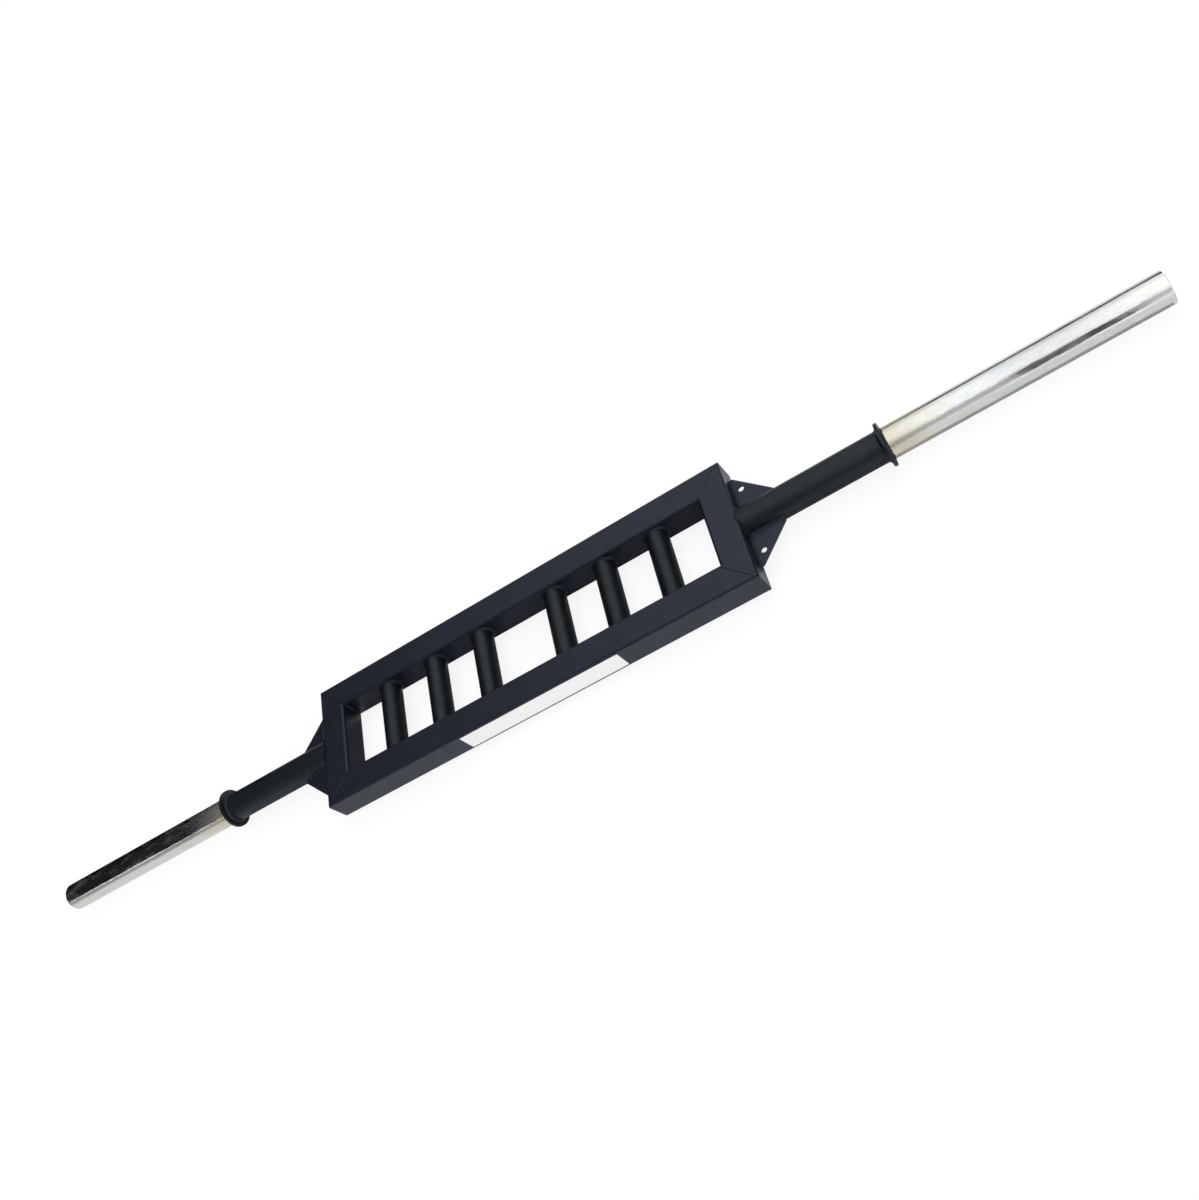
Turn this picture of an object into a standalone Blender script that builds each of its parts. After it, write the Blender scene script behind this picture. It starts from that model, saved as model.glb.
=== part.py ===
"""Swiss bar: a multi-grip barbell with a welded frame, six handles, two arms and two sleeves.

Metres, +Z up. X is the bar's axis, the handles run along Y and the frame's broad side
faces +Z. The origin is the middle of the bar, on its axis.
"""
import math

import bmesh
import bpy

# Sizes read from the photo, scaled by the sleeves' outside diameter
TUBE_OD = 0.050
SECTION_SIZE = 0.050
SECTION_RADIUS = 0.005
HANDLE_OD = 0.038
GRIP_WIDTH = 0.130  # clear length of a handle, between the rails
INNER_GAP = 0.110  # clear gap between the two inner handles
HANDLE_GAP = 0.061  # clear gap between a handle and the next one out
END_GAP = 0.069  # clear gap between an outer handle and the frame's end
ARM_LENGTH = 0.2355  # from the frame's end to the middle of the collar
SLEEVE_LENGTH = 0.4145  # from the middle of the collar to the bar's end
COLLAR_HEIGHT = 0.010
COLLAR_THICKNESS = 0.005
GUSSET_LEG = 0.062
GUSSET_BLUNT = 0.007
GUSSET_THICKNESS = 0.004
GUSSET_HOLE_D = 0.010
GUSSET_HOLE_OUT = 0.015  # from the frame's end to the middle of the hole
GUSSET_HOLE_EDGE = 0.012  # from the slanted edge to the middle of the hole
LABEL_LENGTH = 0.300
LABEL_MARGIN = 0.0015  # from the label to the rail's rounded edges
LABEL_SHIFT = 0.012

# Sizes the photo doesn't show, usual for such a bar
TUBE_WALL = 0.003
SECTION_WALL = 0.003
SECTION_INNER_RADIUS = 0.002
HANDLE_WALL = 0.0025
SPIGOT_LENGTH = 0.060
SPIGOT_WALL = 0.0035
SHOULDER_LENGTH = 0.015
PLUG_LENGTH = 0.018
PLUG_WALL = 0.002
PLUG_FACE = 0.003
PLUG_RECESS = 0.0005
LABEL_THICKNESS = 0.0004
LABEL_RADIUS = 0.001
EDGE_BREAK = 0.001

# Welds, and the gap between neighbouring pieces
WELD_LEG = 0.005
COLLAR_WELD_RISE = 0.004
CORNER_WELD = 0.006
GUSSET_WELD = 0.003
GUSSET_SNIPE = 0.010
SEAM_WIDTH = 0.005
SEAM_RISE = 0.0007
SEAM_RADIUS = 0.002
WELD_EDGE = 0.0003
FIT_GAP = 0.0003

# Faceting
TUBE_STEPS = 56
HANDLE_STEPS = 36
CORNER_STEPS = 5
HOLE_STEPS = 24

# Derived sizes
QUARTER = math.pi / 2
TUBE_R = TUBE_OD / 2
TUBE_BORE_R = TUBE_R - TUBE_WALL
HANDLE_ROWS = ("inner", "middle", "outer")
FIRST_HANDLE_X = (INNER_GAP + HANDLE_OD) / 2
HANDLE_X = [FIRST_HANDLE_X + row * (HANDLE_OD + HANDLE_GAP) for row in range(len(HANDLE_ROWS))]
HALF_WINDOW = HANDLE_X[-1] + HANDLE_OD / 2 + END_GAP
HALF_GRIP = GRIP_WIDTH / 2
HALF_LENGTH = HALF_WINDOW + SECTION_SIZE
HALF_WIDTH = HALF_GRIP + SECTION_SIZE
MEMBER_X = HALF_WINDOW + SECTION_SIZE / 2
RAIL_Y = HALF_GRIP + SECTION_SIZE / 2
COLLAR_X = HALF_LENGTH + ARM_LENGTH
HALF_BAR = COLLAR_X + SLEEVE_LENGTH
LABEL_HEIGHT = SECTION_SIZE - 2 * (SECTION_RADIUS + LABEL_MARGIN)


def linear(hex_colour):
    """Linear RGBA of an sRGB hex colour."""
    parts = [int(hex_colour[i:i + 2], 16) / 255 for i in (0, 2, 4)]
    return [c / 12.92 if c <= 0.04045 else ((c + 0.055) / 1.055) ** 2.4 for c in parts] + [1.0]


def material(name, hex_colour, metallic, roughness):
    """Principled material."""
    mat = bpy.data.materials.new(name)
    mat.use_nodes = True
    shader = mat.node_tree.nodes["Principled BSDF"]
    shader.inputs["Base Color"].default_value = linear(hex_colour)
    shader.inputs["Metallic"].default_value = metallic
    shader.inputs["Roughness"].default_value = roughness
    mat.diffuse_color = linear(hex_colour)
    return mat


def arc(x, y, radius, start, end, steps):
    """Points along an arc, with both ends."""
    angles = [start + (end - start) * step / steps for step in range(steps + 1)]
    return [(x + radius * math.cos(a), y + radius * math.sin(a)) for a in angles]


def rounded_rectangle(width, height, radius):
    """Points round a rectangle with rounded corners, centred on the origin."""
    points = []
    for turn, (sx, sy) in enumerate(((1, 1), (-1, 1), (-1, -1), (1, -1))):
        x = sx * (width / 2 - radius)
        y = sy * (height / 2 - radius)
        points += arc(x, y, radius, turn * QUARTER, (turn + 1) * QUARTER, CORNER_STEPS)
    return points


def baked(obj):
    """The object's final mesh, with its modifiers applied and normals outward."""
    depsgraph = bpy.context.evaluated_depsgraph_get()
    mesh = bpy.data.meshes.new_from_object(obj.evaluated_get(depsgraph))
    bm = bmesh.new()
    bm.from_mesh(mesh)
    bmesh.ops.remove_doubles(bm, verts=bm.verts, dist=1e-6)
    bmesh.ops.recalc_face_normals(bm, faces=bm.faces)
    bm.to_mesh(mesh)
    bm.free()
    return mesh


def scratch_object(name, data, location=(0, 0, 0), rotation=(0, 0, 0)):
    """An object that is only needed while a shape is made."""
    obj = bpy.data.objects.new(name, data)
    obj.location = location
    obj.rotation_euler = rotation
    bpy.context.scene.collection.objects.link(obj)
    bpy.context.view_layer.update()
    return obj


def solid_from_loops(name, loops, thickness, location=(0, 0, 0), rotation=(0, 0, 0)):
    """Solid with the flat loops as its outline and holes, thickened evenly to both sides."""
    curve = bpy.data.curves.new(name, "CURVE")
    curve.dimensions = "2D"
    curve.fill_mode = "BOTH"
    curve.extrude = thickness / 2
    for loop in loops:
        spline = curve.splines.new("POLY")
        spline.points.add(len(loop) - 1)
        for point, (x, y) in zip(spline.points, loop):
            point.co = (x, y, 0.0, 1.0)
        spline.use_cyclic_u = True
    holder = scratch_object(name, curve)
    mesh = baked(holder)
    bpy.data.objects.remove(holder)
    bpy.data.curves.remove(curve)
    return scratch_object(name, mesh, location, rotation)


def turned_solid(name, profile, steps, closed=True, rotation=(0, 0, 0)):
    """Solid turned about its own Z. The profile starts at the top of its outer side."""
    count = len(profile)
    edges = [(i, (i + 1) % count) for i in range(count if closed else count - 1)]
    mesh = bpy.data.meshes.new(name)
    mesh.from_pydata([(radius, 0.0, z) for radius, z in profile], edges, [])
    holder = scratch_object(name, mesh)
    screw = holder.modifiers.new("Turn", "SCREW")
    screw.axis = "Z"
    screw.angle = 2 * math.pi
    screw.steps = steps
    screw.render_steps = steps
    screw.use_merge_vertices = True
    screw.merge_threshold = 0.00001
    solid = baked(holder)
    bpy.data.objects.remove(holder)
    return scratch_object(name, solid, rotation=rotation)


def combine(obj, other, operation):
    """Apply a Boolean of the other object, which is then removed."""
    boolean = obj.modifiers.new("Combine", "BOOLEAN")
    boolean.operation = operation
    boolean.solver = "EXACT"
    boolean.object = other
    bpy.context.view_layer.update()
    mesh = baked(obj)
    obj.modifiers.clear()
    obj.data = mesh
    bpy.data.objects.remove(other)


def block(name, size, location, rotation=(0, 0, 0)):
    """Plain box of the given size."""
    mesh = bpy.data.meshes.new(name)
    bm = bmesh.new()
    bmesh.ops.create_cube(bm, size=1.0)
    bmesh.ops.scale(bm, vec=size, verts=bm.verts)
    bm.to_mesh(mesh)
    bm.free()
    return scratch_object(name, mesh, location, rotation)


def square_tube(name, length, location, rotation):
    """Square hollow section with rounded corners."""
    inner = SECTION_SIZE - 2 * SECTION_WALL
    loops = [rounded_rectangle(SECTION_SIZE, SECTION_SIZE, SECTION_RADIUS),
             rounded_rectangle(inner, inner, SECTION_INNER_RADIUS)]
    return solid_from_loops(name, loops, length, location, rotation)


def cope(obj, location, rotation):
    """Cut an end to the outside shape of the square tube it is welded to."""
    size = SECTION_SIZE + 2 * FIT_GAP
    loop = rounded_rectangle(size, size, SECTION_RADIUS + FIT_GAP)
    cutter = solid_from_loops("cope_cutter", [loop], 4 * SECTION_SIZE, location, rotation)
    combine(obj, cutter, "DIFFERENCE")


def cut_mitre(obj, end, side, outward, offset):
    """Cut one mitre at a frame corner.

    end and side say which corner, outward is +1 to cut away the outside in X and -1
    to cut away the inside, and offset moves the cut back from the corner's diagonal.
    """
    reach = 2 * SECTION_SIZE
    shift = outward * (reach + offset) / math.sqrt(2)
    centre = (end * (MEMBER_X + shift), side * (RAIL_Y - shift), 0)
    cutter = block("mitre_cutter", (2 * reach, 2 * reach, reach), centre, (0, 0, QUARTER / 2))
    combine(obj, cutter, "DIFFERENCE")


def make_rail():
    """Long side of the frame, mitred at both ends, with room for the corner seams."""
    rough_length = 2 * HALF_LENGTH + SECTION_SIZE
    rail = square_tube("rail", rough_length, (0, -RAIL_Y, 0), (0, QUARTER, 0))
    for end in (-1, 1):
        cut_mitre(rail, end, -1, 1, -(SEAM_WIDTH / 2 + FIT_GAP))
    return rail


def make_seam(side):
    """Ground weld over one mitre, standing a little proud of the frame."""
    size = SECTION_SIZE + 2 * SEAM_RISE
    inner = SECTION_SIZE - SECTION_WALL
    loops = [rounded_rectangle(size, size, SECTION_RADIUS + SEAM_RISE),
             rounded_rectangle(inner, inner, SECTION_INNER_RADIUS)]
    diagonal = [[(x * math.sqrt(2), y) for x, y in loop] for loop in loops]
    seam = solid_from_loops("seam", diagonal, SEAM_WIDTH, (MEMBER_X, side * RAIL_Y, 0),
                            (QUARTER, 0, side * QUARTER / 2))
    length = 2 * (HALF_LENGTH + SEAM_RISE)
    width = 2 * (HALF_WIDTH + SEAM_RISE)
    limit = solid_from_loops("seam_limit", [rounded_rectangle(length, width, SEAM_RADIUS)], size)
    combine(seam, limit, "INTERSECT")
    return seam


def make_corner_weld(side):
    """Hollow fillet weld in one inside corner of the frame."""
    x = HALF_WINDOW - CORNER_WELD
    wall = HALF_GRIP - FIT_GAP
    y = wall - CORNER_WELD
    face = arc(x, y, CORNER_WELD, 0.1 * QUARTER, 0.9 * QUARTER, CORNER_STEPS)
    root = HALF_WINDOW + WELD_EDGE
    outline = [(root, face[0][1])] + face + [(face[-1][0], wall), (root, wall)]
    height = SECTION_SIZE - 2 * SECTION_RADIUS
    return solid_from_loops("corner_weld", [[(px, side * py) for px, py in outline]], height)


def make_end_member():
    """Short side of the frame, with the weld at each mitred end."""
    rough_length = 2 * HALF_WIDTH + SECTION_SIZE
    member = square_tube("end_member", rough_length, (MEMBER_X, 0, 0), (QUARTER, 0, 0))
    for side in (-1, 1):
        cut_mitre(member, 1, side, -1, 0.0)
    for side in (-1, 1):
        combine(member, make_seam(side), "UNION")
        combine(member, make_corner_weld(side), "UNION")
    return member


def make_handle():
    """Round handle with a weld round each end, shaped to the rails it stands between."""
    radius = HANDLE_OD / 2
    bore = radius - HANDLE_WALL
    past = HALF_GRIP + SECTION_RADIUS
    weld = [(radius + WELD_LEG, past), (radius + WELD_LEG, HALF_GRIP),
            (radius + 0.35 * WELD_LEG, HALF_GRIP - 0.35 * WELD_LEG), (radius, HALF_GRIP - WELD_LEG)]
    outside = weld + [(r, -z) for r, z in reversed(weld)]
    profile = outside + [(bore, -past), (bore, past)]
    handle = turned_solid("handle", profile, HANDLE_STEPS, rotation=(-QUARTER, 0, 0))
    for side in (-1, 1):
        cope(handle, (0, side * RAIL_Y, 0), (0, QUARTER, 0))
    return handle


def make_arm_tube():
    """Tube from the frame's end to the collar, coped and welded at the frame."""
    start = HALF_LENGTH
    end = COLLAR_X - FIT_GAP / 2
    past = start - SECTION_RADIUS
    flare = TUBE_R + WELD_LEG
    profile = [(TUBE_R, end), (TUBE_R, start + WELD_LEG),
               (TUBE_R + 0.35 * WELD_LEG, start + 0.35 * WELD_LEG), (flare, start),
               (flare, past), (TUBE_BORE_R, past), (TUBE_BORE_R, end)]
    arm = turned_solid("arm_tube", profile, TUBE_STEPS, rotation=(0, QUARTER, 0))
    cope(arm, (MEMBER_X, 0, 0), (QUARTER, 0, 0))
    height = max(SECTION_SIZE, TUBE_OD)
    for side in (-1, 1):
        centre = (start, 0, side * (height + FIT_GAP))
        trim = block("weld_trim", (4 * WELD_LEG, 2 * height, height), centre)
        combine(arm, trim, "DIFFERENCE")
    return arm


def make_sleeve():
    """Sleeve for the weight plates, with a spigot that enters the arm tube."""
    end = HALF_BAR
    joint = COLLAR_X + FIT_GAP / 2
    tip = joint - SPIGOT_LENGTH
    spigot = TUBE_BORE_R - FIT_GAP
    spigot_bore = spigot - SPIGOT_WALL
    shoulder = joint + SHOULDER_LENGTH
    profile = [(TUBE_R - EDGE_BREAK, end), (TUBE_R, end - EDGE_BREAK), (TUBE_R, joint),
               (spigot, joint), (spigot, tip + EDGE_BREAK), (spigot - EDGE_BREAK, tip),
               (spigot_bore, tip), (spigot_bore, shoulder),
               (TUBE_BORE_R, shoulder + TUBE_BORE_R - spigot_bore), (TUBE_BORE_R, end)]
    return turned_solid("sleeve", profile, TUBE_STEPS, rotation=(0, QUARTER, 0))


def make_collar():
    """Thin ring with a weld to each side, over the joint of arm tube and sleeve."""
    bore = TUBE_R + FIT_GAP
    rim = TUBE_R + COLLAR_HEIGHT
    half = COLLAR_THICKNESS / 2
    side = [(rim, half - WELD_EDGE), (rim - WELD_EDGE, half), (bore + COLLAR_WELD_RISE, half),
            (bore + 0.3 * COLLAR_WELD_RISE, half + 0.3 * WELD_LEG), (bore + WELD_EDGE, half + WELD_LEG)]
    outside = list(reversed(side)) + [(r, -z) for r, z in side]
    profile = outside + [(bore, -half - WELD_LEG), (bore, half + WELD_LEG)]
    raised = [(r, z + COLLAR_X) for r, z in profile]
    return turned_solid("collar", raised, TUBE_STEPS, rotation=(0, QUARTER, 0))


def make_gusset():
    """Corner plate with one hole, welded to the end member and to the arm tube."""
    near = FIT_GAP + WELD_EDGE
    local = [(GUSSET_SNIPE, near), (GUSSET_LEG, near), (GUSSET_LEG, GUSSET_BLUNT),
             (GUSSET_BLUNT, GUSSET_LEG), (near, GUSSET_LEG), (near, GUSSET_SNIPE)]
    slant = GUSSET_LEG + GUSSET_BLUNT - math.sqrt(2) * GUSSET_HOLE_EDGE
    hole_x = HALF_LENGTH + GUSSET_HOLE_OUT
    hole_y = TUBE_R + slant - GUSSET_HOLE_OUT
    hole = arc(hole_x, hole_y, GUSSET_HOLE_D / 2, 0.0, 2 * math.pi, HOLE_STEPS)[:-1]
    outline = [(HALF_LENGTH + x, TUBE_R + y) for x, y in local]
    plate = solid_from_loops("gusset", [outline, hole], GUSSET_THICKNESS)
    half = GUSSET_THICKNESS / 2
    toe = FIT_GAP + GUSSET_WELD + WELD_EDGE
    length = GUSSET_LEG - GUSSET_SNIPE - 2 * WELD_EDGE
    middle = (GUSSET_LEG + GUSSET_SNIPE) / 2
    welds = (("weld_on_tube", TUBE_R, (HALF_LENGTH + middle, 0, 0), (QUARTER, 0, QUARTER)),
             ("weld_on_member", HALF_LENGTH, (0, TUBE_R + middle, 0), (QUARTER, 0, 0)))
    for name, base, location, rotation in welds:
        section = [(base + FIT_GAP, -half - GUSSET_WELD), (base + toe, -half + WELD_EDGE),
                   (base + toe, half - WELD_EDGE), (base + FIT_GAP, half + GUSSET_WELD)]
        weld = solid_from_loops(name, [section], length, location, rotation)
        combine(plate, weld, "UNION")
    return plate


def make_end_plug():
    """Push-in cup that closes the sleeve's outer end."""
    outer = TUBE_BORE_R - FIT_GAP
    face = HALF_BAR - PLUG_RECESS
    inside = face - PLUG_FACE
    open_end = face - PLUG_LENGTH
    profile = [(0.0, face), (outer - EDGE_BREAK, face), (outer, face - EDGE_BREAK), (outer, open_end),
               (outer - PLUG_WALL, open_end), (outer - PLUG_WALL, inside), (0.0, inside)]
    return turned_solid("end_plug", profile, TUBE_STEPS, closed=False, rotation=(0, QUARTER, 0))


def make_label():
    """Blank label on the front rail's outer face."""
    loop = rounded_rectangle(LABEL_LENGTH, LABEL_HEIGHT, LABEL_RADIUS)
    y = -(HALF_WIDTH + FIT_GAP + LABEL_THICKNESS / 2)
    return solid_from_loops("label", [loop], LABEL_THICKNESS, (LABEL_SHIFT, y, 0), (QUARTER, 0, 0))


def finish(obj, names, mat, collection, turns=((0, 0, 0),), places=((0, 0, 0),)):
    """Make the named pieces from one shape. Turns are about the bar's own axes."""
    mesh = obj.data
    mesh.transform(obj.matrix_world)
    mesh.materials.clear()
    mesh.materials.append(mat)
    for polygon in mesh.polygons:
        polygon.use_smooth = True
    mesh.set_sharp_from_angle(angle=math.radians(30))
    bpy.data.objects.remove(obj)
    for index, name in enumerate(names):
        piece = bpy.data.objects.new(name, mesh)
        piece.rotation_euler = turns[index % len(turns)]
        piece.location = places[index % len(places)]
        collection.objects.link(piece)


def main():
    for obj in list(bpy.data.objects):
        bpy.data.objects.remove(obj)
    collection = bpy.data.collections.new("swiss_bar")
    bpy.context.scene.collection.children.link(collection)

    coat = material("black_powder_coat", "25272B", 0.0, 0.42)
    zinc = material("zinc_plated_steel", "BDBFBC", 1.0, 0.24)
    plastic = material("black_plastic", "1B1C1E", 0.0, 0.55)
    paper = material("white_label", "E9EAE8", 0.0, 0.45)

    half_turn = ((0, 0, 0), (0, 0, math.pi))
    right_left = ("right", "left")
    finish(make_rail(), ("rail_front", "rail_rear"), coat, collection, half_turn)
    finish(make_end_member(), ["end_member_" + s for s in right_left], coat, collection, half_turn)
    stations = [(f"handle_{s}_{row}", sign * x) for s, sign in (("right", 1), ("left", -1))
                for row, x in zip(HANDLE_ROWS, HANDLE_X)]
    finish(make_handle(), [name for name, x in stations], coat, collection,
           places=[(x, 0, 0) for name, x in stations])
    finish(make_arm_tube(), ["arm_tube_" + s for s in right_left], coat, collection, half_turn)
    finish(make_collar(), ["collar_" + s for s in right_left], coat, collection, half_turn)
    finish(make_sleeve(), ["sleeve_" + s for s in right_left], zinc, collection, half_turn)
    finish(make_end_plug(), ["end_plug_" + s for s in right_left], plastic, collection, half_turn)
    quarters = ((0, 0, 0), (math.pi, 0, 0), (0, 0, math.pi), (0, math.pi, 0))
    corners = ("rear_right", "front_right", "front_left", "rear_left")
    finish(make_gusset(), ["gusset_" + c for c in corners], coat, collection, quarters)
    finish(make_label(), ("label",), paper, collection)


main()
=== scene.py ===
import math

import bmesh
import bpy
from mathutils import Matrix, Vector


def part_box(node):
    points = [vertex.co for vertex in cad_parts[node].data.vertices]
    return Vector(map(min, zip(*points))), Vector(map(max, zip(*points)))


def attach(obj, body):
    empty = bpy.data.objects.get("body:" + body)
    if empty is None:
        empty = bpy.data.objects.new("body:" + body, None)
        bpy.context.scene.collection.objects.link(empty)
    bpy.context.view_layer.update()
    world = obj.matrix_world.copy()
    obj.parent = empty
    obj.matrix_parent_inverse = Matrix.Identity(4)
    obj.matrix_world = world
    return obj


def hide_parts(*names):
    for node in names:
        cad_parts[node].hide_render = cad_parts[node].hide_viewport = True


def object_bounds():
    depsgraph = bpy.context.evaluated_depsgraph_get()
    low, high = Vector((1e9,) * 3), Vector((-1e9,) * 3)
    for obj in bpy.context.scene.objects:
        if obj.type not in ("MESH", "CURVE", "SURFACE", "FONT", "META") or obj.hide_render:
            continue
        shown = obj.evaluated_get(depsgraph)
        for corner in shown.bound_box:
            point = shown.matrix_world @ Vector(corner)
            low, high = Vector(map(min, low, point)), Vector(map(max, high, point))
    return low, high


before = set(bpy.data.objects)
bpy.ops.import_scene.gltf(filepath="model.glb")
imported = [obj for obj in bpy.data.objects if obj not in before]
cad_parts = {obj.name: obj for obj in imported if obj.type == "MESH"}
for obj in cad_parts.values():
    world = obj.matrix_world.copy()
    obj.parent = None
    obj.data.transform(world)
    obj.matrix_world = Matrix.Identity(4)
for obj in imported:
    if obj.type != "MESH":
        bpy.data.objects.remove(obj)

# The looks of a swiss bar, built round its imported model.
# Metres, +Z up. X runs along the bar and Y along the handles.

CAD_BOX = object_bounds()
MM = 0.001

# Which way left and right lie along X, and front and rear along Y
SIDES = {"left": -1, "right": 1}
EDGES = {"front": -1, "rear": 1}

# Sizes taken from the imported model
RAIL_LOW, RAIL_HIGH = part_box("rail_front")
COLLAR_LOW, COLLAR_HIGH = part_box("collar_right")
PLUG_LOW, PLUG_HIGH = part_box("end_plug_right")
LABEL_LOW, LABEL_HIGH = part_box("label")
MEMBER_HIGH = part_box("end_member_right")[1]
SLEEVE_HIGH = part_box("sleeve_right")[1]
SECTION = RAIL_HIGH.z - RAIL_LOW.z
HALF_GRIP = -RAIL_HIGH.y
HALF_WIDTH = -RAIL_LOW.y
SEAM_RISE = MEMBER_HIGH.y - HALF_WIDTH
HALF_LENGTH = MEMBER_HIGH.x - SEAM_RISE
HALF_WINDOW = HALF_LENGTH - SECTION
MEMBER_X = HALF_LENGTH - SECTION / 2
RAIL_Y = HALF_WIDTH - SECTION / 2
TUBE_R = SLEEVE_HIGH.z
BAR_END = SLEEVE_HIGH.x
COLLAR_R = COLLAR_HIGH.z
COLLAR_X = (COLLAR_LOW.x + COLLAR_HIGH.x) / 2
FLOOR_Z = CAD_BOX[0][2]

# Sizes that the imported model's boxes don't give
SECTION_RADIUS = 5 * MM
HANDLE_R = 19 * MM
TUBE_WALL = 3 * MM
COLLAR_THICKNESS = 5 * MM
GUSSET_LEG = 62 * MM
GUSSET_BLUNT = 7 * MM
GUSSET_SNIPE = 4 * MM
GUSSET_THICKNESS = 4 * MM
STICKER_THICKNESS = 0.25 * MM
STICKER_CORNER = 1.2 * MM
PLUG_RIM = 2.5 * MM
PLUG_DISH = 0.8 * MM
# A gusset's hole: its radius, and its middle's distances from the frame and from the arm
GUSSET_HOLE_R = 5 * MM
GUSSET_HOLE = (15 * MM, 37 * MM)

# How far each piece's sharp edges are broken
COLLAR_EDGE = 0.5 * MM
SLEEVE_EDGE = 0.8 * MM
PLUG_EDGE = 1.0 * MM
GUSSET_EDGE = 0.4 * MM
STICKER_EDGE = 0.05 * MM

# Flats round the handles and plugs, and round the bar
GRIP_SIDES = 96
BAR_SIDES = 128

# Tolerances: what is NEAR a rim lies on it, and points closer than TOUCH are one point
NEAR = 0.1 * MM
TOUCH = 0.01 * MM
# Faces that meet at less than this many degrees are shaded as one round surface
SMOOTH_ANGLE = 32

# Weld beads: the leg of each, which is its width on either of the pieces that it joins
GRIP_BEAD = 4.6 * MM
GRIP_TOP_BEAD = 2.2 * MM
ARM_BEAD = 3.8 * MM
ARM_TOP_BEAD = 1.4 * MM
COLLAR_BEADS = {"arm": 4.0 * MM, "sleeve": 2.2 * MM}
GUSSET_BEAD = 2.8 * MM
GUSSET_FRAME_BEAD = 2.0 * MM
CORNER_BEAD = 2.6 * MM
# Where a gusset's welds start and stop along its legs
GUSSET_WELD = (2 * MM, GUSSET_LEG - MM)

# A bead's ripples: the length of one, and its swell at each step along it
RIPPLE = 2.4 * MM
SCALLOP = (0.0, 0.7, 1.0, 0.6)
# An open bead's leg at its ends, as a share of its full leg, and what each step adds to it
STRUCK = 0.45
STRUCK_GAIN = 0.3

# The mitres: half the width of each one's weld, and the undercut left open beside it
SEAM_BEADS = {("right", "front"): 3.0 * MM, ("right", "rear"): 1.3 * MM,
              ("left", "front"): 1.6 * MM, ("left", "rear"): 1.0 * MM}
UNDERCUT = 0.5 * MM
# Their welds' height, how far past its end each would come to a point, and its dip in degrees
SEAM_DOME = 0.3 * MM
SEAM_TIP = 0.3 * MM
SEAM_DIP = 35
# A mitre's cut edges are chamfered above this height, so a little into the rounded edges
SEAM_END = SECTION / 2 - 0.35 * SECTION_RADIUS

# The camera of the photograph
PHOTO_WIDTH = 1199
FOCAL_PIXELS = 1178.73
SENSOR = 36.0
CAMERA_PLACE = (0.7503, -1.1026, 1.3680)
CAMERA_TURN = (30.182, 31.787, -13.728)

# The light tent round the bar
TENT_R = 15.0
# How strongly the floor glows as the camera sees it, and as the bar mirrors it
FLOOR_GLOW = 0.86
MIRRORED_GLOW = 0.66
# Brightness of the tent's sky and of its front wall, from the left (-1) to the right (1)
SKY = ((-0.72, 0.02), (-0.62, 0.04), (-0.54, 0.11), (-0.34, 0.78), (-0.20, 1.32), (0.0, 1.36),
       (0.07, 1.40), (0.14, 1.10), (0.28, 1.65), (0.50, 1.70), (0.64, 0.20), (1.0, 0.04))
WALL = ((-0.72, 0.36), (-0.60, 0.24), (-0.30, 0.42), (0.0, 0.72), (0.25, 1.0), (0.50, 1.8))
# The bright ledge along the wall's top: half its width, and its brightness left and right
LEDGE_WIDTH = 0.018
LEDGE = (2.2, 0.5)

# The lamp in front: its width and height, power in watts, place, and tilt in degrees
LAMP_SIZE = (2.6, 1.2)
LAMP_POWER = 16.0
LAMP_PLACE = (0, -3.0, 0.5)
LAMP_TILT = 84

# The cards: name, colour, lowest corner and highest corner
CARDS = (
    ("back_card", "545454", (-1.2, 2.00, -0.035), (6.0, 2.02, 0.70)),
    ("left_back_card", "101010", (-6.0, 2.00, -0.035), (-1.2, 2.02, 0.70)),
    # Painted shade: the left sleeve's own shadow on the floor behind it, which only reflections
    # show
    ("left_floor_shadow_card", "101010", (-3.4, 0.045, -0.0345), (-0.66, 1.95, -0.034)),
    ("front_card", "6A6A6A", (0.93, -1.26, 0.25), (1.22, -1.25, 1.45)),
    ("front_arm_card", "101010", (0.14, -1.26, -0.034), (0.56, -1.25, 0.95)),
    ("camera_side_card", "161616", (-0.62, -1.12, 0.75), (0.34, -1.10, 2.00)),
    # Painted shade: the bar's own shadow on the floor under the frame, the arms and the right
    # sleeve, which only reflections show
    ("window_shadow_card", "C0C0C0", (-0.36, -0.065, -0.0345), (0.36, 0.065, -0.034)),
    ("left_arm_shadow_card", "D8D8D8", (-0.64, -0.07, -0.0345), (-0.41, 0.05, -0.034)),
    ("right_arm_shadow_card", "C4C4C4", (0.41, -0.07, -0.0345), (0.64, 0.05, -0.034)),
    ("right_sleeve_shadow_card", "C4C4C4", (0.65, -0.045, -0.0345), (1.06, 0.05, -0.034)),
)


def linear(hex_colour):
    """Linear RGBA of an sRGB hex colour."""
    parts = [int(hex_colour[i:i + 2], 16) / 255 for i in (0, 2, 4)]
    return [c / 12.92 if c <= 0.04045 else ((c + 0.055) / 1.055) ** 2.4 for c in parts] + [1.0]


def node(tree, kind, sockets=None, **settings):
    """Add a shader node with its settings, values and links.

    A socket takes a value, another node's output, or another node, whose first output in use
    it then takes.
    """
    made = tree.nodes.new("ShaderNode" + kind)
    for name, value in settings.items():
        setattr(made, name, value)
    for name, value in (sockets or {}).items():
        if isinstance(value, bpy.types.Node):
            value = next(output for output in value.outputs if output.enabled)
        if isinstance(value, bpy.types.NodeSocket):
            tree.links.new(value, made.inputs[name])
        else:
            made.inputs[name].default_value = value
    return made


def new_material(name):
    """A material with an empty tree, and that tree."""
    mat = bpy.data.materials.new(name)
    mat.use_nodes = True
    mat.node_tree.nodes.clear()
    return mat, mat.node_tree


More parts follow.
